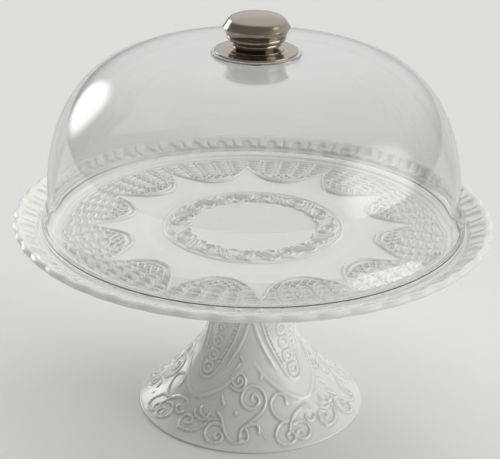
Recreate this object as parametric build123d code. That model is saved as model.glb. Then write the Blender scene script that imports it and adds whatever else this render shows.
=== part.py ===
"""Pedestal cake stand with a clear glass dome and a metal knob.

Millimetres, +Z up.  The origin is the centre of the foot ring, on the table.
Every piece is turned or pressed round the Z axis and built where it sits.
"""
import math
import os

from build123d import *

# ---------------------------------------------------------------- stand
RIM_W = 16.5             # rim outside the wall of the ledge
PLATE_TOP_Z = 124.4      # flat serving surface
PLATE_T = 7.7            # thickness over the pedestal
RIM_RISE = 11.3          # rim edge above the serving surface
RIM_T = 3.6              # thickness of the fluted rim, measured upright
SEAT_RISE = 3.0          # ledge for the glass above the serving surface
SEAT_W = 9.5             # width of that ledge
SEAT_STEP = 1.5          # wall round the outside of the ledge
FLUTES = 48              # shallow hollows round the rim
FLUTE_DEPTH = 0.8
FLUTE_TURN_DEG = -1.1    # how far the hollows are turned on the stand
SCALLOP = 1.4            # how far each lobe stands out of the edge

MEDAL_IN_R = 37.0        # raised band round the plain centre
MEDAL_OUT_R = 57.0
BEAD_W = 2.2             # width of the raised beads
BEAD_H = 0.8             # height of the raised beads
BAND_H = 0.3             # height of the band between its two beads
PETALS = 12
PETAL_TIP_R = 79.5       # nearest point of a petal to the centre
PETAL_MARGIN = 5.5       # from the outer, open end of a petal to the ledge
PETAL_HALF_DEG = 12.7    # half the angle that a petal fills
PETAL_TURN_DEG = 2.8     # how far the pattern is turned on the stand

FOOT_R = 74.5            # radius over the foot
FOOT_EDGE_H = 1.6        # thin edge of the foot
FOOT_ROUND = 0.8         # rounding of that edge
FOOT_RING_W = 6.0        # flat ring that the stand rests on
NECK_R = 25.0            # narrowest part of the pedestal
HEAD_R = 33.0            # top of the pedestal, under the plate
PED_WALL = 6.0           # wall of the hollow pedestal
# outline of the pedestal: (share of the way from neck to foot, share of the height)
PED_OUTLINE = [
    (0.744, 0.075), (0.593, 0.143), (0.370, 0.254), (0.186, 0.366),
    (0.061, 0.477), (0.018, 0.597), (0.000, 0.743), (0.020, 0.846),
]

# ---------------------------------------------------------------- glass
GLASS_R = 134.6          # radius over the flared rim of the glass
GLASS_H = 111.8          # from the ledge to the flat on the crown
GLASS_WALL = 3.0
GLASS_BEAD = 5.6         # rolled rim, measured across
GLASS_HOLE_R = 5.0       # hole for the knob screw
GLASS_FLAT_R = 30.0      # flat on the crown that the knob stands on
SEAT_GAP = 1.4           # play between the glass and the wall of the ledge
# outline of the glass: (share of the radius, share of the height)
GLASS_OUTLINE = [
    (0.9985, 0.052), (0.9900, 0.098), (0.9745, 0.147), (0.9670, 0.200),
    (0.9655, 0.293), (0.9525, 0.422), (0.9170, 0.578), (0.8570, 0.723),
    (0.7710, 0.846), (0.6700, 0.927), (0.5800, 0.968), (0.4830, 0.989),
    (0.3700, 0.998),
]

# ---------------------------------------------------------------- knob
SCREW_R = 2.0            # M4 screw
SCREW_CLEAR = 0.4        # round the screw in everything it passes through
SCREW_HEAD_R = 4.0
SCREW_HEAD_H = 2.6
SCREW_BITE = 11.0        # length of screw inside the insert
DRIVE_R = 1.3            # hexagon socket in the head, across its corners
LOCK_R = 3.7             # spring washer
LOCK_T = 0.9
LOCK_CUT = 0.9           # the split in it
WASHER_R = 11.0          # flat steel washer
WASHER_T = 1.2
PAD_IN_R = 14.0          # clear washer inside the glass
PAD_IN_T = 1.5
PAD_OUT_T = 1.3          # clear washer under the flange
PAD_MARGIN = 2.3         # how far it shows round the flange
BUSH_WALL_GAP = 0.3      # its bush inside the hole in the glass
FLANGE_R = 25.7
FLANGE_EDGE = 1.2
FLANGE_RISE = 0.5        # crown of the flange above its edge

COLLAR_R = 17.0          # spread foot of the knob
COLLAR_LIP = 0.3         # rounding of its edge
WAIST_R = 13.4
RING_LOW_R = 15.9
RING_SET_IN = 0.5        # upper ring behind the lower edge of the cap
RING_WALL = 2.8          # metal between the upper ring and the filler
CAP_R = 20.7             # sharp edge of the cap
CAP_FLARE = 1.8          # sharp edge outside the lower edge of the cap
CAP_SKIRT_H = 4.4        # height of the edge above the lower edge
CAP_H = 12.6
# outline of the crown of the cap: (share of its radius, share of the height above the sharp edge)
CAP_OUTLINE = [(0.918, 0.29), (0.826, 0.60), (0.700, 0.77), (0.500, 0.89), (0.260, 0.97)]
SHELL_T = 1.0            # pressed cap
LOWER_H = 9.6            # height of the stepped lower part
WAIST_WALL = 2.4         # metal between the waist and the filler
CORE_GAP = 0.1           # play round the filler
INSERT_R = 3.8           # brass insert that takes the screw
INSERT_L = 13.0

# ---------------------------------------------------------------- heights worked out from the above
seat_z = PLATE_TOP_Z + SEAT_RISE
rim_z = PLATE_TOP_Z + RIM_RISE
under_z = PLATE_TOP_Z - PLATE_T
seat_out_r = GLASS_R + SEAT_GAP
seat_in_r = seat_out_r - SEAT_W
plate_r = seat_out_r + RIM_W
petal_end_r = seat_in_r - PETAL_MARGIN
crown_z = seat_z + GLASS_H
crown_in_z = crown_z - GLASS_WALL
pad_out_r = FLANGE_R + PAD_MARGIN
flange_z = crown_z + PAD_OUT_T
knob_z = flange_z + FLANGE_EDGE + FLANGE_RISE
cap_z = knob_z + LOWER_H
knob_top_z = cap_z + CAP_H
pad_in_z = crown_in_z - PAD_IN_T
washer_z = pad_in_z - WASHER_T
lock_z = washer_z - LOCK_T
screw_hole_r = SCREW_R + SCREW_CLEAR
cap_skirt_r = CAP_R - CAP_FLARE
ring_high_r = cap_skirt_r - RING_SET_IN
core_high_r = ring_high_r - RING_WALL
core_low_r = WAIST_R - WAIST_WALL


def at(r, z):
    """A point of a half profile: radius, height."""
    return (r, 0, z)


def chain(*points):
    """Straight edges through the points."""
    return [Line(at(*a), at(*b)) for a, b in zip(points, points[1:])]


def curve(points):
    """One smooth edge through the points."""
    return [Spline(*[at(r, z) for r, z in points])]


def arc(start, middle, end):
    return [ThreePointArc(at(*start), at(*middle), at(*end))]


def turn(edges):
    """The solid turned from a closed half profile."""
    face = make_face(Wire(edges))
    return revolve(face, Axis.Z, 360)


def ring(inner_r, outer_r, low_z, high_z):
    """A plain ring or, with no inner radius, a disc."""
    corners = [(inner_r, low_z), (outer_r, low_z), (outer_r, high_z), (inner_r, high_z)]
    return turn(chain(*corners, corners[0]))


def inset(points, wall):
    """The same outline moved inwards by the wall, square to itself."""
    moved = []
    for i, (r, z) in enumerate(points):
        r0, z0 = points[max(i - 1, 0)]
        r1, z1 = points[min(i + 1, len(points) - 1)]
        length = math.hypot(r1 - r0, z1 - z0)
        moved.append((r - wall * (z1 - z0) / length, z + wall * (r1 - r0) / length))
    return moved


# ---------------------------------------------------------------- pedestal
def pedestal():
    """Hollow slip-cast stem that spreads into the foot."""
    spread = FOOT_R - NECK_R
    side = [(FOOT_R - FOOT_ROUND, FOOT_EDGE_H)]
    side += [(NECK_R + spread * share, under_z * height) for share, height in PED_OUTLINE]
    side += [(HEAD_R, under_z)]
    inner = inset(side, PED_WALL)
    inner[0] = (FOOT_R - FOOT_ROUND - FOOT_RING_W, 0)
    inner[-1] = (HEAD_R - PED_WALL, under_z)
    edges = chain(inner[0], (FOOT_R - FOOT_ROUND, 0))
    edges += arc((FOOT_R - FOOT_ROUND, 0), (FOOT_R, FOOT_EDGE_H / 2), side[0])
    edges += curve(side)
    edges += chain(side[-1], inner[-1])
    edges += curve(inner[::-1])
    return turn(edges)


# ---------------------------------------------------------------- plate
def petal_outline(margin):
    """Flat petal, a round arch in a wedge with its open end outwards, smaller by the margin all round."""
    half = math.radians(PETAL_HALF_DEG)
    centre = PETAL_TIP_R / (1 - math.sin(half))
    radius = centre * math.sin(half) - margin
    touch = (centre - radius * math.sin(half), radius * math.cos(half))
    end_y = petal_end_r * math.tan(half) - margin / math.cos(half)
    arch = ThreePointArc((touch[0], -touch[1]), (centre - radius, 0), touch)
    side = Line(touch, (petal_end_r, end_y))
    end = Line((petal_end_r, end_y), (petal_end_r, -end_y))
    return make_face([arch, side, end, Line((petal_end_r, -end_y), (touch[0], -touch[1]))])


def plate_blank():
    """The plate before its rim is fluted: well, ledge for the glass and upturned rim."""
    top = PLATE_TOP_Z
    rim_in = (seat_out_r + 1.4, seat_z + SEAT_STEP)
    edges = chain(
        (0, under_z),
        (0, top),
        (MEDAL_IN_R, top),
        (MEDAL_IN_R + BEAD_W * 0.25, top + BEAD_H),
        (MEDAL_IN_R + BEAD_W * 0.75, top + BEAD_H),
        (MEDAL_IN_R + BEAD_W, top + BAND_H),
        (MEDAL_OUT_R - BEAD_W, top + BAND_H),
        (MEDAL_OUT_R - BEAD_W * 0.75, top + BEAD_H),
        (MEDAL_OUT_R - BEAD_W * 0.25, top + BEAD_H),
        (MEDAL_OUT_R, top),
        (petal_end_r + 0.5, top),
        (petal_end_r + 1.5, top + SEAT_RISE / 2),
        (seat_in_r - 1.0, top + SEAT_RISE / 2),
        (seat_in_r, seat_z),
        (seat_out_r, seat_z),
        rim_in,
        (plate_r - RIM_T * 0.45, rim_z),
    )
    edges += arc(
        (plate_r - RIM_T * 0.45, rim_z),
        (plate_r, rim_z - RIM_T * 0.42),
        (plate_r - 0.9, rim_z - RIM_T * 0.85),
    )
    slope = [
        (plate_r - 0.9, rim_z - RIM_T * 0.85),
        (plate_r - 7.0, rim_z - RIM_T - 2.4),
        (seat_out_r + 1.5, seat_z - RIM_T + 1.3),
        (seat_in_r, PLATE_TOP_Z - RIM_T + 0.4),
        (plate_r * 0.70, under_z + 1.3),
        (HEAD_R + 12.0, under_z),
    ]
    edges += curve(slope)
    edges += chain((HEAD_R + 12.0, under_z), (0, under_z))
    return turn(edges)


def scalloped_slab():
    """Upright slab with the lobed outline of the rim."""
    step = 2 * math.pi / FLUTES
    low = plate_r - SCALLOP
    edges = []
    for i in range(FLUTES):
        angles = (i * step, (i + 0.5) * step, (i + 1) * step)
        radii = (low, plate_r, low)
        points = [(r * math.cos(a), r * math.sin(a)) for r, a in zip(radii, angles)]
        edges.append(ThreePointArc(*points))
    outline = make_face(Wire(edges))
    return Pos(0, 0, under_z - 5) * Rot(0, 0, FLUTE_TURN_DEG) * extrude(outline, rim_z - under_z + 10)


def flute_cutters():
    """One shallow round-bottomed cut per lobe, running up the slope of the rim."""
    start_r = seat_out_r + 2.4
    start_z = seat_z + SEAT_STEP
    end_z = rim_z
    run = plate_r - RIM_T * 0.45 - (seat_out_r + 1.4)
    slope = math.degrees(math.atan2(end_z - start_z, run))
    chord = 2 * math.pi * plate_r / FLUTES
    radius = (chord / 2) ** 2 / (2 * FLUTE_DEPTH) + FLUTE_DEPTH / 2
    length = 30.0
    tool = Rot(0, 90, 0) * Cylinder(radius, length, align=(Align.CENTER, Align.CENTER, Align.MIN))
    tool = Pos(0, 0, radius - FLUTE_DEPTH) * tool
    slab = Pos(0, 0, 0) * Box(2 * length, chord * 0.999, 12, align=(Align.MIN, Align.CENTER, Align.CENTER))
    tool = tool & slab
    placed = Pos(start_r, 0, start_z + (start_r - seat_out_r - 1.4) * math.tan(math.radians(slope)))
    tool = placed * Rot(0, -slope, 0) * tool
    return [Rot(0, 0, FLUTE_TURN_DEG + (i + 0.5) * 360 / FLUTES) * tool for i in range(FLUTES)]


def plate():
    """Plate with its scalloped, fluted rim and the raised pattern on top."""
    body = plate_blank() & scalloped_slab()
    body -= flute_cutters()
    band = petal_outline(0) - petal_outline(BEAD_W)
    petal = Pos(0, 0, PLATE_TOP_Z - 0.2) * extrude(band, BEAD_H + 0.2)
    for i in range(PETALS):
        body += Rot(0, 0, PETAL_TURN_DEG + (i + 0.5) * 360 / PETALS) * petal
    return body


# ---------------------------------------------------------------- glass
def dome_glass():
    """Blown dome with a flared, rolled rim and a drilled flat crown."""
    side = [(GLASS_R, seat_z + GLASS_BEAD / 2)]
    side += [(GLASS_R * share, seat_z + GLASS_H * height) for share, height in GLASS_OUTLINE]
    side += [(GLASS_FLAT_R, crown_z)]
    inner = inset(side, GLASS_WALL)
    inner[0] = (GLASS_R - GLASS_BEAD, seat_z + GLASS_BEAD / 2)
    inner[-1] = (GLASS_FLAT_R, crown_in_z)
    edges = arc(inner[0], (GLASS_R - GLASS_BEAD / 2, seat_z), side[0])
    edges += curve(side)
    edges += chain(side[-1], (GLASS_HOLE_R, crown_z), (GLASS_HOLE_R, crown_in_z), inner[-1])
    edges += curve(inner[::-1])
    return turn(edges)


# ---------------------------------------------------------------- knob and its fixing
def gasket_outer():
    """Clear washer under the flange, with a bush that lines the hole in the glass."""
    bush_r = GLASS_HOLE_R - BUSH_WALL_GAP
    low = crown_in_z + 0.4
    high = flange_z
    edges = chain(
        (screw_hole_r, low),
        (bush_r, low),
        (bush_r, crown_z),
        (pad_out_r - 0.5, crown_z),
    )
    edges += arc((pad_out_r - 0.5, crown_z), (pad_out_r, (crown_z + high) / 2), (pad_out_r - 0.5, high))
    edges += chain((pad_out_r - 0.5, high), (screw_hole_r, high), (screw_hole_r, low))
    return turn(edges)


def gasket_inner():
    """Clear washer between the glass and the steel washer."""
    return ring(screw_hole_r, PAD_IN_R, pad_in_z, crown_in_z)


def washer_inner():
    return ring(screw_hole_r, WASHER_R, washer_z, pad_in_z)


def lock_washer():
    """Split spring washer."""
    body = ring(SCREW_R + 0.15, LOCK_R, lock_z, washer_z)
    return body - Pos(LOCK_R / 2, 0, (lock_z + washer_z) / 2) * Box(LOCK_R * 1.6, LOCK_CUT, LOCK_T * 2)


def screw():
    """Pan-head screw put in from inside the glass."""
    low = lock_z - SCREW_HEAD_H
    tip = knob_z + SCREW_BITE
    edges = chain((0, low), (SCREW_HEAD_R - 1.2, low))
    edges += arc((SCREW_HEAD_R - 1.2, low), (SCREW_HEAD_R - 0.3, low + 0.9), (SCREW_HEAD_R, low + 1.9))
    edges += chain(
        (SCREW_HEAD_R, low + 1.9),
        (SCREW_HEAD_R, lock_z),
        (SCREW_R, lock_z),
        (SCREW_R, tip - 0.6),
        (SCREW_R - 0.6, tip),
        (0, tip),
        (0, low),
    )
    socket = extrude(RegularPolygon(DRIVE_R, 6), SCREW_HEAD_H * 0.6)
    return turn(edges) - Pos(0, 0, low) * socket


def flange():
    """Round base of the knob, slightly crowned."""
    shoulder = flange_z + FLANGE_EDGE
    edges = chain((screw_hole_r, flange_z), (FLANGE_R - 0.4, flange_z))
    edges += arc(
        (FLANGE_R - 0.4, flange_z),
        (FLANGE_R, flange_z + FLANGE_EDGE / 2),
        (FLANGE_R - 0.5, shoulder),
    )
    edges += arc(
        (FLANGE_R - 0.5, shoulder),
        ((FLANGE_R + COLLAR_R + 0.8) / 2, shoulder + FLANGE_RISE * 0.72),
        (COLLAR_R + 0.8, knob_z),
    )
    edges += chain((COLLAR_R + 0.8, knob_z), (screw_hole_r, knob_z), (screw_hole_r, flange_z))
    return turn(edges)


def knob_lower():
    """Stepped lower part of the knob: spread foot, waist and two rings."""
    z = knob_z
    h = LOWER_H
    bore_low = core_low_r + CORE_GAP
    bore_high = core_high_r + CORE_GAP
    waist = z + h * 0.24
    valley = z + h * 0.57
    lip_r = COLLAR_R - COLLAR_LIP
    edges = chain((bore_low, z), (lip_r, z))
    edges += arc((lip_r, z), (COLLAR_R, z + COLLAR_LIP), (lip_r, z + 2 * COLLAR_LIP))
    edges += arc(
        (lip_r, z + 2 * COLLAR_LIP),
        (WAIST_R + (COLLAR_R - WAIST_R) * 0.30, z + h * 0.13),
        (WAIST_R, waist),
    )
    edges += chain((WAIST_R, waist), (WAIST_R + 0.6, waist + h * 0.01))
    edges += arc(
        (WAIST_R + 0.6, waist + h * 0.01),
        (RING_LOW_R, z + h * 0.43),
        (RING_LOW_R - 0.5, valley),
    )
    edges += arc(
        (RING_LOW_R - 0.5, valley),
        (ring_high_r - 1.4, z + h * 0.60),
        (ring_high_r - 0.5, z + h * 0.68),
    )
    edges += arc(
        (ring_high_r - 0.5, z + h * 0.68),
        (ring_high_r, z + h * 0.81),
        (ring_high_r - 0.7, z + h * 0.95),
    )
    edges += chain(
        (ring_high_r - 0.7, z + h * 0.95),
        (ring_high_r - 0.7, z + h),
        (bore_high, z + h),
        (bore_high, z + h * 0.74),
        (bore_low, z + h * 0.50),
        (bore_low, z),
    )
    return turn(edges)


def knob_cap():
    """Pressed cap with a sharp edge, whose lip is turned in over the lower part."""
    z = cap_z
    lip_r = core_high_r + CORE_GAP
    edge_z = z + CAP_SKIRT_H
    rise = CAP_H - CAP_SKIRT_H
    outside = [(CAP_R, edge_z)]
    outside += [(CAP_R * share, edge_z + rise * height) for share, height in CAP_OUTLINE]
    inside = inset(outside, SHELL_T)
    inside[0] = (CAP_R - SHELL_T * 1.5, edge_z)
    edges = chain((lip_r, z), (cap_skirt_r - 0.5, z))
    edges += arc((cap_skirt_r - 0.5, z), (cap_skirt_r - 0.15, z + 0.15), (cap_skirt_r, z + 0.5))
    edges += chain((cap_skirt_r, z + 0.5), outside[0])
    edges += [
        Spline(
            *[at(*p) for p in outside],
            at(0, z + CAP_H),
            tangents=[(-0.59, 0, 0.81), (-1, 0, 0)],
        )
    ]
    edges += chain((0, z + CAP_H), (0, z + CAP_H - SHELL_T))
    edges += [
        Spline(
            at(0, z + CAP_H - SHELL_T),
            *[at(*p) for p in inside[::-1]],
            tangents=[(1, 0, 0), (0.59, 0, -0.81)],
        )
    ]
    edges += chain(inside[0], (cap_skirt_r - SHELL_T, z + SHELL_T), (lip_r, z + SHELL_T), (lip_r, z))
    return turn(edges)


def knob_core():
    """Moulded filler that joins the cap and the lower part and holds the insert."""
    z = knob_z
    h = LOWER_H
    top = cap_z + CAP_H * 0.52
    hole = INSERT_R + 0.05
    hole_top = z + INSERT_L + 0.3
    edges = chain(
        (hole, z),
        (core_low_r, z),
        (core_low_r, z + h * 0.51),
        (core_high_r, z + h * 0.75),
        (core_high_r, top - 1.0),
        (core_high_r - 1.0, top),
        (0, top),
        (0, hole_top),
        (hole, hole_top),
        (hole, z),
    )
    return turn(edges)


def knob_insert():
    """Brass insert with two grooves that key it into the filler."""
    z = knob_z
    bore_r = SCREW_R + 0.05
    groove = INSERT_R - 0.5
    thirds = INSERT_L / 5
    edges = chain(
        (bore_r, z),
        (INSERT_R, z),
        (INSERT_R, z + thirds),
        (groove, z + thirds),
        (groove, z + 2 * thirds),
        (INSERT_R, z + 2 * thirds),
        (INSERT_R, z + 3 * thirds),
        (groove, z + 3 * thirds),
        (groove, z + 4 * thirds),
        (INSERT_R, z + 4 * thirds),
        (INSERT_R, z + INSERT_L),
        (0, z + INSERT_L),
        (0, z + INSERT_L - 1.4),
        (bore_r, z + INSERT_L - 1.4),
        (bore_r, z),
    )
    return turn(edges)


PIECES = {
    "pedestal": pedestal,
    "plate": plate,
    "dome_glass": dome_glass,
    "gasket_outer": gasket_outer,
    "gasket_inner": gasket_inner,
    "washer_inner": washer_inner,
    "lock_washer": lock_washer,
    "screw": screw,
    "flange": flange,
    "knob_lower": knob_lower,
    "knob_cap": knob_cap,
    "knob_core": knob_core,
    "knob_insert": knob_insert,
}

os.makedirs("parts", exist_ok=True)
for name, make in PIECES.items():
    solid = make()
    print(name, round(solid.volume / 1000, 2), "cm3", len(solid.solids()), "solids, valid", solid.is_valid)
    export_step(solid, "parts/" + name + ".step")
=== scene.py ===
"""Pedestal cake stand with a clear glass dome: the visible pieces, their finishes and a plain studio."""
import math

import bpy
import numpy as np
from mathutils import Matrix, Vector


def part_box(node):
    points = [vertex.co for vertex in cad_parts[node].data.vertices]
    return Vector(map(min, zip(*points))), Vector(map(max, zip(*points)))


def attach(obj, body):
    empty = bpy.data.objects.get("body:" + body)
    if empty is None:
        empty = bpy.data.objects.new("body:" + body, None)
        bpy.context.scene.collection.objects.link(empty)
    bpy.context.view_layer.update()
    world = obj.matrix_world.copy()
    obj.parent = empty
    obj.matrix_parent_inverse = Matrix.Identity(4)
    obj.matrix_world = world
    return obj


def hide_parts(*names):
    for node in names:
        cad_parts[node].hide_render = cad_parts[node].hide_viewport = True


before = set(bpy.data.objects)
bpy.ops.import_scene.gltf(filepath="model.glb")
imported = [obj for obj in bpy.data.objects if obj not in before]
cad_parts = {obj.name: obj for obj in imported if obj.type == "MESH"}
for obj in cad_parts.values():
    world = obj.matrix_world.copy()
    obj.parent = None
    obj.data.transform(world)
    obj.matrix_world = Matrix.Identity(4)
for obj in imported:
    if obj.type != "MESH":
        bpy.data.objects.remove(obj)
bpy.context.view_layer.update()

bl_info = {
    "name": "Cake stand with glass dome",
    "version": (1, 0, 0),
    "blender": (4, 5, 0),
    "location": "View3D > Sidebar > Cake stand",
    "description": "Builds an embossed ceramic cake stand with its glass dome and metal knob",
    "category": "Add Mesh",
}

MM = 0.001
FOLD = 12                # the plate pattern repeats twelve times round
LOBES = 48               # shells round the rim
FLUTE_TURN = math.radians(-1.1)
SCALLOP = 1.4            # how far each lobe stands out of the edge, in millimetres
PED_FOLD = 4             # tongues round the pedestal


# ---------------------------------------------------------------- colours and node helper
def linear(code):
    """Linear colour with full alpha from an sRGB hex code."""
    values = [int(code[i : i + 2], 16) / 255 for i in (1, 3, 5)]
    return tuple(v / 12.92 if v <= 0.04045 else ((v + 0.055) / 1.055) ** 2.4 for v in values) + (1.0,)


def node(tree, kind, settings=None):
    """Adds a node: a socket as value is linked, a value goes to its input, the rest are properties."""
    made = tree.nodes.new(kind)
    for key, value in (settings or {}).items():
        if isinstance(value, bpy.types.NodeSocket):
            tree.links.new(value, made.inputs[key])
        elif isinstance(key, int) or key in made.inputs:
            made.inputs[key].default_value = value
        else:
            setattr(made, key, value)
    return made


# ---------------------------------------------------------------- sizes and colours a user can change
class CakeStandSizes(bpy.types.PropertyGroup):
    """Sizes of the pattern, in metres."""

    emboss: bpy.props.FloatProperty(
        name="Plate relief",
        description="Height of the raised pattern on the plate",
        default=1.6 * MM,
        min=0,
        unit="LENGTH",
    )
    pedestal_emboss: bpy.props.FloatProperty(
        name="Pedestal relief",
        description="Height of the scrolls on the pedestal",
        default=1.0 * MM,
        min=0,
        unit="LENGTH",
    )
    rim_emboss: bpy.props.FloatProperty(
        name="Rim relief",
        description="Height of the shells round the rim",
        default=1.3 * MM,
        min=0,
        unit="LENGTH",
    )


class CakeStandColours(bpy.types.PropertyGroup):
    """Colours of the finishes."""

    glaze: bpy.props.FloatVectorProperty(
        name="Glaze",
        description="White of the glazed clay",
        subtype="COLOR",
        size=4,
        min=0,
        max=1,
        default=linear("#EEEFEA"),
    )
    # Grey of the glaze in the hollows: partly thick glaze where it gathers, partly painted shade in the
    # grooves.
    hollow_glaze_and_shade: bpy.props.FloatVectorProperty(
        name="Glaze in hollows",
        description="Thicker glaze",
        subtype="COLOR",
        size=4,
        min=0,
        max=1,
        default=linear("#BEC0B6"),
    )
    glass: bpy.props.FloatVectorProperty(
        name="Glass",
        description="Tint of the dome",
        subtype="COLOR",
        size=4,
        min=0,
        max=1,
        default=linear("#EFF0EF"),
    )
    metal: bpy.props.FloatVectorProperty(
        name="Knob",
        description="Polished nickel of the knob",
        subtype="COLOR",
        size=4,
        min=0,
        max=1,
        default=linear("#A2998B"),
    )
    floor: bpy.props.FloatVectorProperty(
        name="Floor",
        description="Pale floor of the studio",
        subtype="COLOR",
        size=4,
        min=0,
        max=1,
        default=linear("#F1F1EF"),
    )


# ---------------------------------------------------------------- modelling helpers
def smooth_path(points, count):
    """Evenly spaced points on the smooth curve through the given (radius, height) points."""
    pts = np.array(points, float)
    t = np.concatenate([[0], np.cumsum(np.hypot(*np.diff(pts, axis=0).T))])
    h = np.diff(t)
    n = len(t)
    a = np.eye(n)
    rhs = np.zeros((n, 2))
    for i in range(1, n - 1):
        a[i, i - 1 : i + 2] = h[i - 1], 2 * (h[i - 1] + h[i]), h[i]
        rhs[i] = 6 * ((pts[i + 1] - pts[i]) / h[i] - (pts[i] - pts[i - 1]) / h[i - 1])
    m = np.linalg.solve(a, rhs)
    fine = np.linspace(0, t[-1], 40 * n)
    k = np.clip(np.searchsorted(t, fine, side="right") - 1, 0, n - 2)
    u, w, hk = (fine - t[k])[:, None], (t[k + 1] - fine)[:, None], h[k][:, None]
    curve = (m[k] * w**3 + m[k + 1] * u**3) / (6 * hk)
    curve += (pts[k] / hk - m[k] * hk / 6) * w + (pts[k + 1] / hk - m[k + 1] * hk / 6) * u
    s = np.concatenate([[0], np.cumsum(np.hypot(*np.diff(curve, axis=0).T))])
    even = np.linspace(0, s[-1], count)
    return [(float(np.interp(e, s, curve[:, 0])), float(np.interp(e, s, curve[:, 1]))) for e in even]


def inset(points, wall):
    """The same outline moved inwards by the wall, square to itself."""
    moved = []
    for i, (r, z) in enumerate(points):
        r0, z0 = points[max(i - 1, 0)]
        r1, z1 = points[min(i + 1, len(points) - 1)]
        length = math.hypot(r1 - r0, z1 - z0)
        moved.append((r - wall * (z1 - z0) / length, z + wall * (r1 - r0) / length))
    return moved


def round_bend(centre, radius, start_deg, end_deg, count):
    """Points on an arc, for rolled edges and beads."""
    angles = np.radians(np.linspace(start_deg, end_deg, count))
    return [(centre[0] + radius * math.cos(a), centre[1] + radius * math.sin(a)) for a in angles]


def spaced(low, high, step):
    """Evenly spaced values from low to high, both included, at most the step apart."""
    return list(np.linspace(low, high, max(2, math.ceil((high - low) / step) + 1)))


def turned(name, outline, steps):
    """A solid turned round Z: the outline, in millimetres, is drawn point by point and screwed round."""
    bpy.ops.object.select_all(action="DESELECT")
    first = outline[0]
    bpy.ops.mesh.primitive_plane_add(size=MM, location=(first[0] * MM, 0, first[1] * MM))
    obj = bpy.context.object
    obj.name = obj.data.name = name
    bpy.ops.object.transform_apply(location=True, rotation=True, scale=True)
    bpy.ops.object.mode_set(mode="EDIT")
    bpy.ops.mesh.select_all(action="SELECT")
    bpy.ops.mesh.merge(type="CENTER")
    for a, b in zip(outline, outline[1:]):
        move = ((b[0] - a[0]) * MM, 0, (b[1] - a[1]) * MM)
        bpy.ops.mesh.extrude_vertices_move(TRANSFORM_OT_translate={"value": move})
    bpy.ops.object.mode_set(mode="OBJECT")
    bpy.ops.object.modifier_add(type="SCREW")
    screw = obj.modifiers[-1]
    screw.axis = "Z"
    screw.angle = math.tau
    screw.steps = screw.render_steps = steps
    screw.use_merge_vertices = True
    screw.merge_threshold = 1e-6
    bpy.ops.object.modifier_apply(modifier=screw.name)
    bpy.ops.object.mode_set(mode="EDIT")
    bpy.ops.mesh.select_all(action="SELECT")
    bpy.ops.mesh.remove_doubles(threshold=2e-6)
    bpy.ops.mesh.normals_make_consistent(inside=False)
    bpy.ops.object.mode_set(mode="OBJECT")
    return obj


def coordinates(obj):
    """The piece's vertices, in millimetres."""
    co = np.empty(len(obj.data.vertices) * 3)
    obj.data.vertices.foreach_get("co", co)
    return co.reshape(-1, 3) / MM


def keep_values(obj, name, values):
    """Stores one number a vertex, for the finish to read."""
    layer = obj.data.attributes.new(name, "FLOAT", "POINT")
    layer.data.foreach_set("value", values.astype(np.float32))


def hollows(obj, share, gain, rounds=4):
    """How deep each vertex lies: 0.5 is level, 1 the deepest groove, 0 the sharpest ridge."""
    ends = np.empty(len(obj.data.edges) * 2, np.int32)
    obj.data.edges.foreach_get("vertices", ends)
    first, second = ends[0::2], ends[1::2]
    count = len(share)
    sides = np.bincount(first, minlength=count) + np.bincount(second, minlength=count) + 1
    around = share.copy()
    for _ in range(rounds):
        total = np.bincount(first, around[second], count) + np.bincount(second, around[first], count)
        around = (total + around) / sides
    return np.clip(0.5 + gain * (around - share), 0, 1)


def nudge(obj, factor):
    """Moves each vertex towards the axis, to the given factor of its distance."""
    co = np.empty(len(obj.data.vertices) * 3, np.float32)
    obj.data.vertices.foreach_get("co", co)
    co = co.reshape(-1, 3)
    co[:, :2] *= factor[:, None]
    obj.data.vertices.foreach_set("co", co.ravel())
    obj.data.update()


def emboss(obj, share, height, direction="NORMAL", hollow_shade_gain=1.5):
    """Raises the surface by the share, from 0 to 1, of the height, and notes the hollows, where the glaze is
    greyed partly for thick glaze and partly as painted shade.
    """
    share = np.clip(share, 0, 1)
    group = obj.vertex_groups.new(name="relief")
    levels = np.round(share * 1000).astype(int)
    order = np.argsort(levels, kind="stable")
    edges = np.flatnonzero(np.diff(levels[order])) + 1
    for part in np.split(order, edges):
        group.add(part.tolist(), levels[part[0]] / 1000, "REPLACE")
    bpy.context.view_layer.objects.active = obj
    bpy.ops.object.modifier_add(type="DISPLACE")
    push = obj.modifiers[-1]
    push.vertex_group = group.name
    push.direction = direction
    push.mid_level = 0
    push.strength = height
    bpy.ops.object.modifier_apply(modifier=push.name)
    obj.vertex_groups.clear()
    # The hollows grey the glaze: partly thick glaze, partly painted shade in grooves and recesses.
    keep_values(obj, "pooled_glaze_and_shade", hollows(obj, share, hollow_shade_gain))


def finish_piece(obj, body, material, nodes, angle=40):
    """Smooths, dresses and hands the piece to its body."""
    bpy.ops.object.select_all(action="DESELECT")
    obj.select_set(True)
    bpy.context.view_layer.objects.active = obj
    bpy.ops.object.shade_smooth_by_angle(angle=math.radians(angle))
    obj.data.materials.clear()
    obj.data.materials.append(material)
    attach(obj, body)
    if nodes:
        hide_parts(*nodes)
    return obj


# ---------------------------------------------------------------- pattern helpers
def bump(distance, half_width):
    """Rounded ridge: 1 on the line, 0 at the half width and beyond."""
    return 0.5 + 0.5 * np.cos(np.pi * np.clip(np.abs(distance) / half_width, 0, 1))


def ramp(value, low, high):
    """Smooth step from 0 at low to 1 at high."""
    t = np.clip((value - low) / (high - low), 0, 1)
    return t * t * (3 - 2 * t)


def line_distance(u, v, stroke, stretch=1.0):
    """Distance from (u, v) to a stroke given as points; u is stretched first."""
    best = np.full(u.shape, 1e9)
    for (u0, v0), (u1, v1) in zip(stroke, stroke[1:]):
        ax, ay = (u - u0) * stretch, v - v0
        bx, by = (u1 - u0) * stretch, v1 - v0
        t = np.clip((ax * bx + ay * by) / np.maximum(bx * bx + by * by, 1e-9), 0, 1)
        best = np.minimum(best, np.hypot(ax - t * bx, ay - t * by))
    return best


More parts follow.
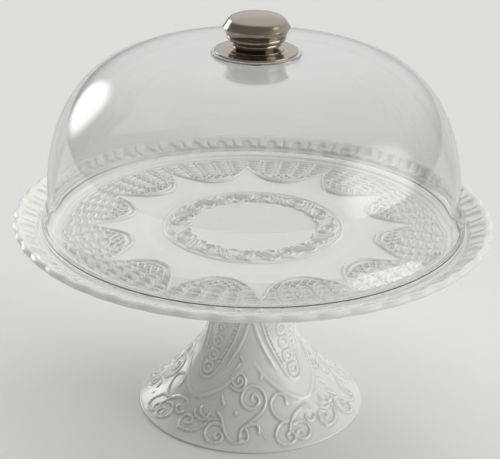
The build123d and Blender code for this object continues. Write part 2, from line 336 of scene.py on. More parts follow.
# ---------------------------------------------------------------- finishes
def bare_material(name):
    """An empty material, its tree and its output."""
    material = bpy.data.materials.new(name)
    material.use_nodes = True
    tree = material.node_tree
    tree.nodes.clear()
    return material, tree, node(tree, "ShaderNodeOutputMaterial")


def object_place(tree):
    """Object coordinates, in metres."""
    return node(tree, "ShaderNodeTexCoord").outputs["Object"]


def bumped(tree, height, strength, distance):
    """Normal of a surface that is uneven by the distance, in metres."""
    settings = {"Height": height, "Strength": strength, "Distance": distance}
    return node(tree, "ShaderNodeBump", settings).outputs["Normal"]


def glazed_stoneware(colours):
    """White earthenware dipped in clear gloss glaze: warm white, sharp lights, greyer in the hollows, partly
    where the glaze gathers thick and partly painted shade.
    """
    material, tree, out = bare_material("glazed_white_earthenware")
    place = object_place(tree)
    # Hollow mask: greys the glaze in grooves, partly thick glaze and partly painted shade.
    hollow = node(tree, "ShaderNodeAttribute", {"attribute_name": "pooled_glaze_and_shade"}).outputs["Fac"]
    cloud = node(tree, "ShaderNodeTexNoise", {"Vector": place, "Scale": 28.0, "Detail": 3.0}).outputs["Fac"]
    cloudy = {"operation": "MULTIPLY_ADD", 0: cloud, 1: 0.12, 2: hollow}
    depth = node(tree, "ShaderNodeMath", cloudy).outputs[0]
    pooled_glaze_and_shade = node(tree, "ShaderNodeMapRange", {"Value": depth, "From Min": 0.53, "From Max": 0.95}).outputs[0]
    whites = {"data_type": "RGBA", 0: pooled_glaze_and_shade, 6: colours.glaze, 7: colours.hollow_glaze_and_shade}
    tint = node(tree, "ShaderNodeMix", whites)
    wave = node(tree, "ShaderNodeTexNoise", {"Vector": place, "Scale": 160.0, "Detail": 2.0}).outputs["Fac"]
    skin = bumped(tree, wave, 0.08, 0.0004)
    rough = node(
        tree,
        "ShaderNodeMapRange",
        {"Value": cloud, "From Min": 0.3, "From Max": 0.7, "To Min": 0.16, "To Max": 0.26},
    ).outputs[0]
    shader = node(
        tree,
        "ShaderNodeBsdfPrincipled",
        {
            "Base Color": tint.outputs[2],
            "Roughness": rough,
            "Normal": skin,
            "IOR": 1.5,
            "Coat Weight": 0.5,
            "Coat Roughness": 0.06,
            "Coat IOR": 1.5,
        },
    )
    tree.links.new(shader.outputs[0], out.inputs["Surface"])
    return material


def let_lamps_through(tree, shader, tint):
    """Clear matter that casts only a faint shadow: shadow rays pass, all others see the shader."""
    open_way = node(tree, "ShaderNodeBsdfTransparent", {"Color": linear(tint)}).outputs[0]
    shadow = node(tree, "ShaderNodeLightPath").outputs["Is Shadow Ray"]
    return node(tree, "ShaderNodeMixShader", {0: shadow, 1: shader.outputs[0], 2: open_way}).outputs[0]


def blown_glass(colours):
    """Soda-lime glass, blown in a mould and fire-polished: mirror smooth, faint grey tint, gentle waves."""
    material, tree, out = bare_material("clear_blown_glass")
    place = object_place(tree)
    wave = node(tree, "ShaderNodeTexNoise", {"Vector": place, "Scale": 16.0, "Detail": 1.0}).outputs["Fac"]
    skin = bumped(tree, wave, 0.05, 0.002)
    glass = node(
        tree,
        "ShaderNodeBsdfPrincipled",
        {
            "Base Color": colours.glass,
            "Normal": skin,
            "Roughness": 0.0,
            "IOR": 1.5,
            "Transmission Weight": 1.0,
        },
    )
    tree.links.new(let_lamps_through(tree, glass, "#F7F8F7"), out.inputs["Surface"])
    return material


def clear_vinyl():
    """Soft clear PVC, moulded: cloudy clear with a satin skin."""
    material, tree, out = bare_material("clear_soft_vinyl")
    place = object_place(tree)
    haze = node(tree, "ShaderNodeTexNoise", {"Vector": place, "Scale": 300.0, "Detail": 2.0}).outputs["Fac"]
    rough = node(tree, "ShaderNodeMapRange", {"Value": haze, "To Min": 0.06, "To Max": 0.22}).outputs[0]
    vinyl = node(
        tree,
        "ShaderNodeBsdfPrincipled",
        {"Base Color": linear("#F2F4F4"), "Roughness": rough, "IOR": 1.5, "Transmission Weight": 0.85},
    )
    tree.links.new(let_lamps_through(tree, vinyl, "#EEF0F0"), out.inputs["Surface"])
    return material


def turned_metal(name, colour, low, high, rings, depth):
    """Metal turned on a lathe and polished: fine rings round Z, coarse enough to show, and uneven polish."""
    material, tree, out = bare_material(name)
    place = object_place(tree)
    cloud = node(tree, "ShaderNodeTexNoise", {"Vector": place, "Scale": 90.0, "Detail": 3.0}).outputs["Fac"]
    rough = node(
        tree,
        "ShaderNodeMapRange",
        {"Value": cloud, "From Min": 0.3, "From Max": 0.7, "To Min": low, "To Max": high},
    ).outputs[0]
    cuts = node(
        tree,
        "ShaderNodeTexWave",
        {"wave_type": "RINGS", "rings_direction": "Z", "Vector": place, "Scale": rings, "Distortion": 0.4},
    ).outputs["Fac"]
    skin = bumped(tree, cuts, depth, 0.0002)
    dark = tuple(v * 0.86 for v in colour[:3]) + (1.0,)
    tone = node(tree, "ShaderNodeMix", {"data_type": "RGBA", 0: cloud, 6: dark, 7: colour}).outputs[2]
    shader = node(
        tree,
        "ShaderNodeBsdfPrincipled",
        {"Base Color": tone, "Roughness": rough, "Normal": skin, "Metallic": 1.0},
    )
    tree.links.new(shader.outputs[0], out.inputs["Surface"])
    return material


def moulded_filler():
    """Black moulded plastic: matt with a fine grain."""
    material, tree, out = bare_material("black_moulded_filler")
    place = object_place(tree)
    grain = node(tree, "ShaderNodeTexNoise", {"Vector": place, "Scale": 1500.0, "Detail": 2.0}).outputs["Fac"]
    skin = bumped(tree, grain, 0.3, 0.0001)
    tone = node(
        tree, "ShaderNodeMix", {"data_type": "RGBA", 0: grain, 6: linear("#18181A"), 7: linear("#242426")}
    ).outputs[2]
    shader = node(
        tree, "ShaderNodeBsdfPrincipled", {"Base Color": tone, "Normal": skin, "Roughness": 0.55, "IOR": 1.49}
    )
    tree.links.new(shader.outputs[0], out.inputs["Surface"])
    return material


def studio_paper(colours):
    """Seamless paper: matt, nearly white."""
    material, tree, out = bare_material("pale_paper")
    place = object_place(tree)
    fibre = node(tree, "ShaderNodeTexNoise", {"Vector": place, "Scale": 400.0, "Detail": 2.0}).outputs["Fac"]
    skin = bumped(tree, fibre, 0.05, 0.0002)
    shader = node(
        tree, "ShaderNodeBsdfPrincipled", {"Base Color": colours.floor, "Normal": skin, "Roughness": 0.9}
    )
    tree.links.new(shader.outputs[0], out.inputs["Surface"])
    return material


def shared(name, make, *args):
    """The material of that name, made the first time it is asked for."""
    found = bpy.data.materials.get(name)
    return found if found else make(*args)


# ---------------------------------------------------------------- plate
PLATE_STEPS = 1152
WELL_STEPS = 720
WELL_R = 68.0
FIELD_R = 125.2
PETAL_TIP_R = 79.4
MEET_R = 106.5           # where neighbouring petals meet
PETAL_END_R = 120.0
PATTERN_TURN = math.radians(2.8)
MEDALLION_TURN = math.radians(174)
COLUMNS = 5              # woven columns to a petal
BAR_PITCH = 5.2          # of the short bars in a column
LATTICE_PITCH = 4.3
PETAL_POWER = 2.56       # how quickly a petal opens from its tip
RIM_RISE = 11.3          # rim above the serving surface
BODY_T = 2.5             # depth of the separate centre and petal pieces
LEDGE_RISE = 3.0         # ledge for the glass above the pattern's ground
SUNK = 0.35              # the plain surface lies this far above the deepest part of the pattern


def plate_levels():
    """Heights on the plate, in millimetres, from the CAD box of the plate."""
    low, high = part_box("plate")
    return {"under": low.z / MM, "rim": high.z / MM, "top": high.z / MM - RIM_RISE, "radius": 152.5}


def medallion(r, theta):
    """Raised band of rings and twisted strands round the plain centre, in millimetres."""
    middle, half = 47.3, 8.6
    pitch = math.tau / FOLD
    local = np.mod(theta - MEDALLION_TURN + pitch / 2, pitch) - pitch / 2
    along = local * middle
    across = r - middle
    ring = np.hypot(along / 1.05, across)
    height = 0.95 * bump(ring - 5.6, 1.25)
    height = np.maximum(height, 0.75 * bump(ring - 2.5, 0.95))
    height = np.maximum(height, 0.6 * bump(ring, 0.9))
    side = middle * pitch / 2
    far = side - np.abs(along)
    sign = np.sign(along)
    for shift, reach in ((-3.1, 6.4), (0.0, 7.6), (3.1, 6.4)):
        sweep = (far * sign - shift) + 3.2 * np.sin(across / 7.6 * np.pi / 2)
        strand = bump(sweep, 1.05) * (1 - ramp(np.abs(across), reach - 1.6, reach))
        height = np.maximum(height, 0.85 * strand * ramp(ring, 5.8, 7.4))
    height = np.maximum(height, 0.5 * bump(r - middle - half - 1.4, 1.0))
    wave = middle + (half - 1.6) * (0.82 + 0.18 * np.cos(theta * 2 * FOLD + 0.6))
    height = np.maximum(height, 0.7 * bump(r - wave, 1.0))
    wave = middle - (half - 1.6) * (0.82 + 0.18 * np.cos(theta * 2 * FOLD + 0.6))
    return np.maximum(height, 0.7 * bump(r - wave, 1.0))


def petal_field(r, theta):
    """Twelve arched petals that meet side by side, filled with lattice and woven columns, in millimetres."""
    pitch = math.tau / FOLD
    local = np.mod(theta - PATTERN_TURN, pitch) - pitch / 2
    aside = np.abs(local) / (pitch / 2)
    reach = MEET_R - PETAL_TIP_R
    line = PETAL_TIP_R + reach * aside**PETAL_POWER
    lean = PETAL_POWER * reach * aside ** (PETAL_POWER - 1) / (pitch / 2) / r
    edge = (line - r) / np.sqrt(1 + lean * lean)
    fade = 1 - ramp(r, PETAL_END_R, PETAL_END_R + 1.0)
    height = 0.9 * bump(edge + 0.2, 1.0) * (1 - 0.4 * ramp(aside, 0.6, 1)) - 0.2 * bump(edge - 1.6, 1.1)
    height = np.maximum(height, 0.85 * bump(edge + 4.0, 1.9) * (1 - ramp(aside, 0.35, 0.72)))
    flank = ramp(aside, 0.4, 0.65) * (1 - ramp(aside, 0.75, 0.95))
    height = np.maximum(height, 0.5 * bump(edge + 2.5, 0.9) * flank)
    margin = 1.0 + 4.8 * (1 - ramp(aside, 0.25, 0.8))
    inside = ramp(-edge, margin - 0.5, margin + 0.5) * fade
    # lattice near the tip
    x, y = r * np.cos(local), r * np.sin(local)
    a = (x * 0.62 + y * 0.79) / LATTICE_PITCH
    b = (x * 0.62 - y * 0.79) / LATTICE_PITCH
    one_way = bump((a - np.round(a)) * LATTICE_PITCH, 1.1)
    other_way = bump((b - np.round(b)) * LATTICE_PITCH, 1.1)
    lattice = np.maximum(one_way, other_way)
    # columns of short bars between beaded lines
    turn = np.mod(theta - PATTERN_TURN, math.tau) / pitch * COLUMNS
    column = np.floor(turn)
    width = r * pitch / COLUMNS
    across = (turn - column - 0.5) * width
    offset = np.where(np.mod(column, 2) == 0, 0.0, 0.5)
    bars = (r + 0.6 * np.cos(across / width * math.tau)) / BAR_PITCH + offset
    bar = bump((bars - np.round(bars)) * BAR_PITCH, 1.85)
    bar = bar * (1 - ramp(np.abs(across), width / 2 - 2.6, width / 2 - 1.2))
    beads = 0.7 + 0.3 * np.cos(r / 2.6 * math.tau + column * np.pi)
    wander = 0.4 * np.sin(r / BAR_PITCH * math.tau + column)
    thread = bump(width / 2 - np.abs(across + wander), 1.25) * beads
    woven = np.maximum(bar, thread)
    split = 94.0 + 2.0 * np.cos(turn * math.tau)
    blend = ramp(r, split - 0.8, split + 0.8)
    filling = (lattice * (1 - blend) + woven * blend) * 1.15 - 0.34
    height = height * (1 - inside) + filling * inside
    return np.maximum(height, 0.45 * bump(r - 121.0, 0.8))


def lobe_place(theta):
    """Place across a lobe of the rim, from -0.5 at one notch to 0.5 at the next."""
    return np.mod((theta - FLUTE_TURN) / math.tau * LOBES, 1) - 0.5


def rim_shells(r, theta, outer):
    """Shells of the rim: a thick rounded border round a plain hollow, and a soft notch between neighbours."""
    pitch = math.tau / LOBES * r
    across = lobe_place(theta) * pitch
    end, half = outer - 8.0, 4.4
    edge = np.where(r < end, np.abs(across) - half, np.hypot(across, r - end) - half)
    border = ramp(edge, -2.3, 0.7)
    notch = 1 - 0.7 * bump(pitch / 2 - np.abs(across), 1.7) * (1 - ramp(r, outer - 6, outer - 2))
    return border * notch + (1 - border) * 0.05


class CAKESTAND_OT_plate(bpy.types.Operator):
    """Turn the plate and emboss its medallion, petals and shells"""

    bl_idname = "cakestand.plate"
    bl_label = "Plate"

    def execute(self, context):
        sizes, colours = context.scene.cake_stand_sizes, context.scene.cake_stand_colours
        glaze = shared("glazed_white_earthenware", glazed_stoneware, colours)
        level = plate_levels()
        top = level["top"]
        depth = sizes.emboss / MM
        total = depth + SUNK

        # centre: plain disc inside the medallion, then smooth ground to the petals
        ground = top - SUNK
        line = [(r, ground) for r in spaced(0, 35, 3.5) + spaced(35.5, 60, 0.55) + spaced(61, WELL_R, 1.4)]
        line += [(WELL_R, ground - BODY_T), (0, ground - BODY_T)]
        well = turned("plate_centre", line, WELL_STEPS)
        co = coordinates(well)
        r, theta = np.hypot(co[:, 0], co[:, 1]), np.arctan2(co[:, 1], co[:, 0])
        ripple = 0.05 * np.sin(co[:, 1] * 1.1 + 1.5 * np.sin(co[:, 0] * 0.12)) * (1 - ramp(r, 28, 36))
        height = np.where(co[:, 2] > ground - 1, SUNK + medallion(r, theta) * depth + ripple, 0)
        emboss(well, height / total, total * MM, "Z", 0.8)
        finish_piece(well, "stand", glaze, ["plate"])

        # ring of petals
        line = [(r, ground) for r in spaced(WELL_R, 77, 1.8) + spaced(77.6, 121.4, 0.62)]
        line += [(122.0, ground + 0.5), (122.6, ground + 1.1), (123.4, ground + 1.5), (FIELD_R, ground + 1.5)]
        line += [(FIELD_R, ground - BODY_T), (WELL_R, ground - BODY_T), (WELL_R, ground)]
        petals = turned("plate_petals", line, PLATE_STEPS)
        co = coordinates(petals)
        r, theta = np.hypot(co[:, 0], co[:, 1]), np.arctan2(co[:, 1], co[:, 0])
        height = np.where(co[:, 2] > ground - 1, SUNK + petal_field(r, theta) * depth, 0)
        emboss(petals, height / total, total * MM, "Z")
        finish_piece(petals, "stand", glaze, ["plate"])

        # ledge for the glass, rim and underside
        outer = level["radius"] - 0.8
        low_r, low_z = 137.6, top + 4.2
        high_r, high_z = outer - 1.6, level["rim"] - 1.5
        rise = (high_z - low_z) / (high_r - low_r)
        slope = [(r, low_z + rise * (r - low_r)) for r in spaced(low_r, high_r, 0.55)]
        seat = top + LEDGE_RISE
        ledge = [(FIELD_R, top + 1.5), (125.7, top + 1.7), (126.5, top + 2.8), (127.1, seat), (131.0, seat)]
        ledge += [(135.5, seat), (136.1, top + 3.1), (136.8, top + 3.7)]
        lip = round_bend((outer - 1.7, high_z - 1.7), 1.7, 78, -70, 10)
        under = [(outer - 1.9, high_z - 3.5), (145.5, top + 5.2), (137.5, top + 0.8)]
        under += [(126.5, top - 3.2), (107, level["under"] + 1.3), (45, level["under"])]
        line = ledge + slope + lip + smooth_path(under, 34)
        line += [(0, level["under"]), (0, ground - 2.6), (FIELD_R, ground - 2.6), (FIELD_R, top + 1.5)]
        rim = turned("plate_rim", line, PLATE_STEPS)
        co = coordinates(rim)
        r, theta, z = np.hypot(co[:, 0], co[:, 1]), np.arctan2(co[:, 1], co[:, 0]), co[:, 2]
        lobe = 1 - (2 * lobe_place(theta)) ** 2
        middle = np.interp(r, [low_r, outer], [low_z - 1.6, high_z - 1.7])
        upper = ramp(r, low_r - 0.6, low_r + 1.4) * ramp(z, middle, middle + 0.8)
        at_lip = ramp(r, outer - 2.2, outer - 0.8)
        swell = 0.5 + 0.5 * np.cos(math.tau * lobe_place(theta))
        height = rim_shells(r, theta, outer) * (1 - at_lip) + (0.55 + 0.2 * swell) * at_lip
        emboss(rim, height * upper, sizes.rim_emboss, hollow_shade_gain=0.9)
        above = 0.3 + 0.7 * ramp(z, high_z - 3.0, high_z - 0.3)
        scallop = SCALLOP * (1 - 0.6 * lobe - 0.4 * swell) * ramp(r, 141, 150) * above
        nudge(rim, 1 - scallop / np.maximum(r, 1))
        finish_piece(rim, "stand", glaze, ["plate"])
        return {"FINISHED"}


# ---------------------------------------------------------------- pedestal
PED_STEPS = 576
# scrollwork between two tongues, each stroke as (degrees from the middle, millimetres up the side)
SCROLLS = [
    [(1.1, 36.2), (2.3, 39.1), (6.6, 36.6), (2.6, 30.6), (-2.7, 30.7), (-6.4, 34.8), (-5.4, 41.3),
     (2.4, 45.1), (9.8, 41.8), (11.9, 35.8), (9.0, 29.0), (3.6, 24.2), (-1.1, 20.1), (-4.7, 16.7),
     (-5.5, 12.5), (-3.9, 8.4), (-1.7, 8.9), (-1.0, 13.3), (-2.6, 17.4)],
    [(-11.4, 47.2), (-10.7, 49.8), (-7.2, 47.7), (-9.8, 44.5), (-15.4, 45.9), (-17.2, 50.0), (-12.4, 52.7),
     (-6.2, 51.1), (-4.2, 46.7), (-7.2, 42.1), (-12.4, 41.9), (-17.3, 44.0)],
    [(-19.1, 50.7), (-15.5, 54.8), (-11.5, 58.6)],
    [(-12.6, 63.9), (-9.0, 61.2)],
    [(27.3, 32.7), (27.2, 36.0), (24.5, 38.5), (19.8, 38.0), (15.8, 34.4), (15.2, 29.0), (18.0, 23.8),
     (22.3, 20.4)],
    [(25.0, 20.1), (19.8, 19.2), (15.8, 14.3), (15.3, 7.9), (18.6, 4.6), (23.5, 5.5), (25.9, 9.1),
     (24.2, 12.4), (21.5, 10.6), (22.2, 8.3)],
    [(42.0, 26.2), (35.3, 25.6), (29.8, 22.6), (26.0, 18.0), (24.0, 13.9)],
    [(27.5, 17.0), (32.6, 18.1), (36.4, 14.5), (35.4, 9.0), (31.2, 5.8), (27.5, 7.4), (27.7, 11.1),
     (30.7, 12.3), (31.1, 9.7)],
    [(42.0, 26.2), (45.2, 22.3), (44.3, 18.2), (40.2, 15.9), (37.4, 18.1), (38.8, 20.6)],
    [(-1.9, 18.7), (2.0, 20.2), (5.3, 18.5), (5.3, 14.7)],
    [(-22.5, 25.9), (-18.3, 22.0), (-15.7, 15.9), (-12.3, 10.2), (-8.2, 6.9), (-4.6, 7.6)],
    [(-16.7, 17.4), (-22.5, 18.2), (-25.7, 13.2), (-24.3, 7.8), (-20.3, 4.9), (-16.2, 6.4), (-15.1, 10.6),
     (-18.0, 12.8), (-19.8, 10.3), (-18.3, 8.3)],
    [(-22.6, 20.6), (-26.6, 20.2), (-30.5, 20.8), (-34.6, 24.1), (-33.5, 27.3)],
    [(-38.2, 22.9), (-36.6, 19.7), (-32.5, 18.4), (-28.5, 19.6), (-27.6, 22.9)],
    [(-42.8, 9.5), (-44.2, 13.6), (-42.1, 17.8), (-37.3, 17.0), (-36.8, 13.6), (-39.8, 12.7)],
    [(-42.6, 8.2), (-37.5, 7.9), (-32.1, 10.4), (-27.8, 15.8)],
    [(-22.0, 36.2), (-19.1, 31.2)],
]
# small beads among them: (degrees, millimetres, half width, half height)
SCROLL_BEADS = [(26.9, 31.6, 1.9, 1.9), (9.8, 50.8, 1.7, 3.4), (-9.8, 27.0, 1.4, 1.8), (8.6, 11.1, 1.0, 1.2)]


def pedestal_pattern(theta, s, radius):
    """Tongues with a beaded heart and the scrolls between them: share of the relief, 0 to 1."""
    quarter = math.tau / PED_FOLD
    local = np.degrees(np.mod(theta + math.pi / 2 + quarter / 2, quarter) - quarter / 2)
    stretch = radius * math.pi / 180
    # tongue, measured from its middle line: two soft lines that curve in to a point
    off = 45 - np.abs(local)
    mm = off * stretch
    way = np.clip((s - 30.7) / 32, 1e-4, 2)
    outer_half = 44 * way**0.72
    lean = 1 / np.sqrt(1 + (0.99 * way**-0.28 * stretch) ** 2)
    outer = (off - outer_half) * stretch * lean
    shown = ramp(s, 30.2, 31.2) * (1 - ramp(s, 52, 62))
    height = 0.62 * bump(outer, 2.1) * shown
    height = np.maximum(height, 0.30 * ramp(-outer, -1.0, 1.5) * shown * (1 - ramp(-outer, 3, 15)))
    # inner tongue: round end, raised line, band of beads, then rings one above the other
    half = 6.6 + 0.20 * np.clip(s - 51.5, 0, 60)
    end = 51.5
    inner = np.where(s < end, np.hypot(mm, s - end), mm) - half
    height = np.maximum(height, 0.55 * bump(inner - 0.4, 1.2))
    height = np.maximum(height, 0.75 * bump(inner - 5.2, 1.9) * ramp(s, 50, 62))
    beads = 0.5 + 0.5 * np.cos(s / 3.0 * math.tau)
    height = np.maximum(height, 0.85 * bump(inner + 1.9, 1.2) * beads * ramp(s, 52, 56))
    step = 9.0
    row = (s - end) / step
    rings = np.hypot(mm, (row - np.maximum(np.round(row), 0)) * step * 1.05)
    height = np.maximum(height, (0.66 - 0.05 * np.clip(row, 0, 4)) * bump(rings - 3.6, 1.3))
    height = np.maximum(height, 0.45 * bump(rings, 2.2))
    # scrolls on the ground between the tongues
    zone = s < 66
    u, v, k = local[zone], s[zone], stretch[zone]
    best = np.zeros(u.shape)
    for stroke in SCROLLS:
        fine = smooth_path(stroke, 6 * len(stroke))
        best = np.maximum(best, bump(line_distance(u, v, fine, k), 1.1))
    for cu, cv, wide, tall in SCROLL_BEADS:
        best = np.maximum(best, bump(np.hypot((u - cu) * k / wide, (v - cv) / tall), 1.0))
    scrolls = np.zeros_like(s)
    scrolls[zone] = 0.85 * best
    return np.maximum(height, scrolls * ramp(s, 2.5, 5))


class CAKESTAND_OT_pedestal(bpy.types.Operator):
    """Turn the hollow pedestal and raise its tongues and scrolls"""

    bl_idname = "cakestand.pedestal"
    bl_label = "Pedestal"

    def execute(self, context):
        sizes, colours = context.scene.cake_stand_sizes, context.scene.cake_stand_colours
        glaze = shared("glazed_white_earthenware", glazed_stoneware, colours)
        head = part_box("pedestal")[1].z / MM
        foot, neck, wall, head_r = 74.5, 25.0, 6.0, 33.0
        edge_h, edge_round = 1.6, 0.8
        shares = [
            (0.744, 0.075), (0.593, 0.143), (0.370, 0.254), (0.186, 0.366),
            (0.061, 0.477), (0.018, 0.597), (0.000, 0.743), (0.020, 0.846),
        ]
        side = [(foot - edge_round, edge_h)]
        side += [(neck + (foot - neck) * a, head * b) for a, b in shares]
        side += [(head_r, head)]
        fine = smooth_path(side, 150)
        inner = inset(smooth_path(side, 16), wall)
        inner[0] = (foot - wall - edge_round, 0)
        inner[-1] = (head_r - wall, head)
        bottom = [(foot - wall - edge_round, 0), (foot - edge_round - 0.1, 0)]
        bottom += round_bend((foot - edge_round, edge_round), edge_round, -75, 75, 8)
        line = bottom + fine + [(head_r - 2, head)] + inner[::-1]
        stem = turned("pedestal_body", line, PED_STEPS)
        co = coordinates(stem)
        r, theta, z = np.hypot(co[:, 0], co[:, 1]), np.arctan2(co[:, 1], co[:, 0]), co[:, 2]
        table = np.array(fine)
        run = np.concatenate([[0], np.cumsum(np.hypot(*np.diff(table, axis=0).T))]) + edge_h
        s = np.interp(z, table[:, 1], run)
        skin = np.abs(r - np.interp(z, table[:, 1], table[:, 0])) < 0.3
        skin &= (z > edge_h + 0.3) & (z < head - 4)
        share = np.where(skin, pedestal_pattern(theta, s, r), 0)
        emboss(stem, share, sizes.pedestal_emboss)
        finish_piece(stem, "stand", glaze, ["pedestal"])
        return {"FINISHED"}


# ---------------------------------------------------------------- glass
class CAKESTAND_OT_glass(bpy.types.Operator):
    """Turn the glass dome with its flared, rolled rim"""

    bl_idname = "cakestand.glass"
    bl_label = "Glass dome"

    def execute(self, context):
        low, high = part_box("dome_glass")
        seat, crown = low.z / MM, high.z / MM
        radius, tall, wall, bead = 134.6, crown - seat, 3.0, 5.6
        hole, flat = 5.0, 30.0
        shares = [
            (0.9985, 0.052), (0.9900, 0.098), (0.9745, 0.147), (0.9670, 0.200), (0.9655, 0.293),
            (0.9525, 0.422), (0.9170, 0.578), (0.8570, 0.723), (0.7710, 0.846), (0.6700, 0.927),
            (0.5800, 0.968), (0.4830, 0.989), (0.3700, 0.998),
        ]
        side = [(radius, seat + bead / 2)]
        side += [(radius * a, seat + tall * b) for a, b in shares]
        side += [(flat, crown)]
        fine = smooth_path(side, 90)
        inner = inset(side, wall)
        inner[0] = (radius - bead, seat + bead / 2)
        inner[-1] = (flat, crown - wall)
        rolled = round_bend((radius - bead / 2, seat + bead / 2), bead / 2, 180, 360, 14)[1:-1]
        line = [inner[0]] + rolled + fine + [(hole + 0.4, crown), (hole, crown - 0.4), (hole, crown - wall)]
        line += smooth_path(inner, 80)[::-1]
        dome = turned("glass_dome", line, 320)
        glass = shared("clear_blown_glass", blown_glass, context.scene.cake_stand_colours)
        finish_piece(dome, "dome", glass, ["dome_glass"], 50)

        low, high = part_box("gasket_outer")
        outer, top, base = high.x / MM, high.z / MM, crown
        bush, bore, foot = 4.7, 2.4, low.z / MM
        line = [(bore, foot), (bush - 0.3, foot), (bush, foot + 0.3), (bush, base), (outer - 0.7, base)]
        line += round_bend((outer - 0.65, (base + top) / 2), (top - base) / 2, -85, 85, 9)
        line += [(outer - 0.8, top), (bore, top), (bore, foot)]
        ring = turned("gasket_ring", line, 160)
        finish_piece(ring, "dome", shared("clear_soft_vinyl", clear_vinyl), ["gasket_outer"])
        return {"FINISHED"}


# ---------------------------------------------------------------- knob
class CAKESTAND_OT_knob(bpy.types.Operator):
    """Turn the polished flange, the stepped lower part and the cap of the knob"""

    bl_idname = "cakestand.knob"
    bl_label = "Knob"

    def execute(self, context):
        colours = context.scene.cake_stand_colours
        nickel = turned_metal("spun_polished_nickel", tuple(colours.metal), 0.04, 0.10, 260.0, 0.02)
        turns = 192
        low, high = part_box("flange")
        z, top, edge = low.z / MM, high.z / MM, high.x / MM
        rise = [(edge - 0.5, z + 1.2), (edge - 4.5, z + 1.5), (20.5, top - 0.08), (17.8, top)]
        crown = smooth_path(rise, 14)
        line = [(2.4, z), (edge - 0.5, z)] + round_bend((edge - 0.6, z + 0.6), 0.6, -80, 70, 7)
        line += crown[1:] + [(2.4, top), (2.4, z)]
        finish_piece(turned("knob_flange", line, turns), "knob", nickel, ["flange"])

        low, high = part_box("knob_lower")
        z, h = low.z / MM, (high.z - low.z) / MM
        line = [(11.1, z), (16.7, z)] + round_bend((16.7, z + 0.3), 0.3, -75, 80, 6)
        line += smooth_path([(16.6, z + 0.62), (15.3, z + 0.95), (14.2, z + 1.5), (13.4, z + 2.3)], 12)
        line += [(13.45, z + 2.4), (14.0, z + 2.42)]
        low_ring = [(14.2, z + 2.5), (15.4, z + 3.1), (15.9, z + 4.1), (15.75, z + 5.0), (15.4, z + 5.4)]
        line += smooth_path(low_ring, 16) + [(15.3, z + 5.5), (15.4, z + 5.6)]
        high_ring = [(16.5, z + 5.7), (17.6, z + 6.2), (18.25, z + 7.0)]
        high_ring += [(18.4, z + 7.8), (18.2, z + 8.6), (17.8, z + 9.0)]
        line += smooth_path(high_ring, 16)
        line += [(17.6, z + 9.1), (17.6, z + h), (15.7, z + h)]
        line += [(15.7, z + h * 0.74), (11.1, z + h * 0.5), (11.1, z)]
        finish_piece(turned("knob_rings", line, turns), "knob", nickel, ["knob_lower"], 32)

        low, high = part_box("knob_cap")
        z, h, edge = low.z / MM, (high.z - low.z) / MM, high.x / MM
        skirt, shell = 4.4, 1.0
        rise = h - skirt
        shares = [(0.985, 0.055), (0.918, 0.29), (0.826, 0.60), (0.700, 0.77), (0.500, 0.89), (0.260, 0.97)]
        shape = [(edge * share, z + skirt + rise * height) for share, height in shares] + [(0.001, z + h)]
        outside = smooth_path(shape, 40)
        line = [(15.7, z), (18.4, z), (18.75, z + 0.15), (18.9, z + 0.5)]
        line += [(edge - 0.12, z + skirt - 0.25), (edge, z + skirt), (edge - 0.08, z + skirt + 0.15)]
        line += outside[:-1] + [(0, z + h), (0, z + h - shell)]
        line += inset(outside, shell)[-2:3:-1] + [(17.9, z + shell), (15.7, z + shell), (15.7, z)]
        finish_piece(turned("knob_top", line, turns), "knob", nickel, ["knob_cap"], 32)
        return {"FINISHED"}


class CAKESTAND_OT_fixings(bpy.types.Operator):
    """Dress the fixings that keep their turned shape: screw, washers, insert, filler and inner gasket"""

    bl_idname = "cakestand.fixings"
    bl_label = "Fixings"

    def execute(self, context):
        steel = turned_metal("plain_zinc_steel", linear("#B4B4B2"), 0.22, 0.34, 700.0, 0.08)
        brass = turned_metal("turned_brass", linear("#C9A25A"), 0.20, 0.32, 700.0, 0.08)
        dress = {
            "screw": steel,
            "washer_inner": steel,
            "lock_washer": steel,
            "knob_insert": brass,
            "knob_core": moulded_filler(),
            "gasket_inner": shared("clear_soft_vinyl", clear_vinyl),
        }
        for name, material in dress.items():
            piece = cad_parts[name]
            for slot in piece.material_slots:
                slot.material = material
        return {"FINISHED"}


# ---------------------------------------------------------------- studio
PLATE_R = 0.1525         # metres, the unit for the place of the camera
FOCAL_SHARE = 2.91806    # focal length as a share of the sensor's width


def soft_room():
    """World light: a dim pale room with soft windows, each (direction, half width in degrees, brightness)."""
    windows = [
        ((0.95, -0.25, 0.22), 30, 3.2),
        ((-0.66, 0.72, 0.24), 17, 3.0),
        ((0.15, 0.60, 0.79), 72, 0.85),
    ]
    world = bpy.data.worlds.new("soft_room")
    world.use_nodes = True
    tree = world.node_tree
    way = node(tree, "ShaderNodeTexCoord").outputs["Generated"]
    height = node(tree, "ShaderNodeSeparateXYZ", {"Vector": way}).outputs["Z"]
    total = node(
        tree, "ShaderNodeMapRange", {"Value": height, "From Min": -0.3, "To Min": 0.05, "To Max": 0.32}
    ).outputs[0]
    for direction, half_width, brightness in windows:
        aim = Vector(direction).normalized()
        towards = {"operation": "DOT_PRODUCT", 0: way, 1: aim}
        facing = node(tree, "ShaderNodeVectorMath", towards).outputs["Value"]
        soft = node(
            tree,
            "ShaderNodeMapRange",
            {
                "interpolation_type": "SMOOTHSTEP",
                "Value": facing,
                "From Min": math.cos(math.radians(half_width)),
                "From Max": math.cos(math.radians(half_width * 0.45)),
                "To Max": brightness,
            },
        ).outputs[0]
        total = node(tree, "ShaderNodeMath", {"operation": "ADD", 0: total, 1: soft}).outputs[0]
    back = tree.nodes["Background"]
    back.inputs["Color"].default_value = linear("#FBFBFA")
    tree.links.new(total, back.inputs["Strength"])
    return world


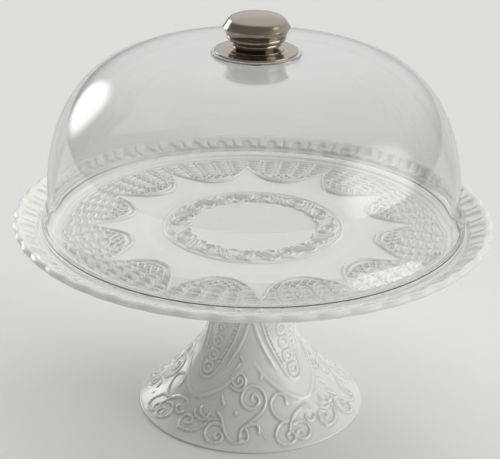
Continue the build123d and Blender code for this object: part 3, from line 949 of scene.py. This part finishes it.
class CAKESTAND_OT_studio(bpy.types.Operator):
    """Lay the pale floor, hang the soft lights and set the camera"""

    bl_idname = "cakestand.studio"
    bl_label = "Studio"

    def execute(self, context):
        scene = context.scene
        bpy.ops.object.select_all(action="DESELECT")
        bpy.ops.mesh.primitive_plane_add(size=12, location=(0, 0, 0))
        floor = context.object
        floor.name = "studio_floor"
        floor.data.materials.append(studio_paper(scene.cake_stand_colours))

        scene.world = soft_room()

        distance, height = 5.6503 * PLATE_R, 3.2202 * PLATE_R + 1.7 * MM
        yaw, pitch, roll = -0.0023, 0.4066, 0.0171
        forward = Vector((math.sin(yaw) * math.cos(pitch), math.cos(yaw) * math.cos(pitch), -math.sin(pitch)))
        right = Vector((math.cos(yaw), -math.sin(yaw), 0))
        up = right.cross(forward)
        level = math.cos(roll) * right + math.sin(roll) * up
        upright = -math.sin(roll) * right + math.cos(roll) * up
        data = bpy.data.cameras.new("camera")
        data.sensor_width = 36
        data.lens = data.sensor_width * FOCAL_SHARE
        data.clip_start, data.clip_end = 0.05, 50
        camera = bpy.data.objects.new("camera", data)
        turn = Matrix((level, upright, -forward)).transposed()
        camera.matrix_world = Matrix.Translation((0, -distance, height)) @ turn.to_4x4()
        scene.collection.objects.link(camera)
        scene.camera = camera
        scene.view_settings.view_transform = "Standard"
        return {"FINISHED"}


class CAKESTAND_PT_panel(bpy.types.Panel):
    """Lists the steps that build the cake stand"""

    bl_idname = "CAKESTAND_PT_panel"
    bl_label = "Cake stand"
    bl_space_type = "VIEW_3D"
    bl_region_type = "UI"
    bl_category = "Cake stand"

    def draw(self, context):
        for group in (context.scene.cake_stand_sizes, context.scene.cake_stand_colours):
            for name in group.bl_rna.properties.keys():
                if name not in ("rna_type", "name"):
                    self.layout.prop(group, name)
        for step in STEPS:
            self.layout.operator(step.bl_idname)


STEPS = (
    CAKESTAND_OT_plate,
    CAKESTAND_OT_pedestal,
    CAKESTAND_OT_glass,
    CAKESTAND_OT_knob,
    CAKESTAND_OT_fixings,
    CAKESTAND_OT_studio,
)
CLASSES = (CakeStandSizes, CakeStandColours) + STEPS + (CAKESTAND_PT_panel,)


def register():
    for cls in CLASSES:
        bpy.utils.register_class(cls)
    bpy.types.Scene.cake_stand_sizes = bpy.props.PointerProperty(type=CakeStandSizes)
    bpy.types.Scene.cake_stand_colours = bpy.props.PointerProperty(type=CakeStandColours)


def unregister():
    del bpy.types.Scene.cake_stand_colours
    del bpy.types.Scene.cake_stand_sizes
    for cls in reversed(CLASSES):
        bpy.utils.unregister_class(cls)


def main():
    register()
    bpy.ops.cakestand.plate()
    bpy.ops.cakestand.pedestal()
    bpy.ops.cakestand.glass()
    bpy.ops.cakestand.knob()
    bpy.ops.cakestand.fixings()
    bpy.ops.cakestand.studio()


if __name__ == "__main__":
    main()
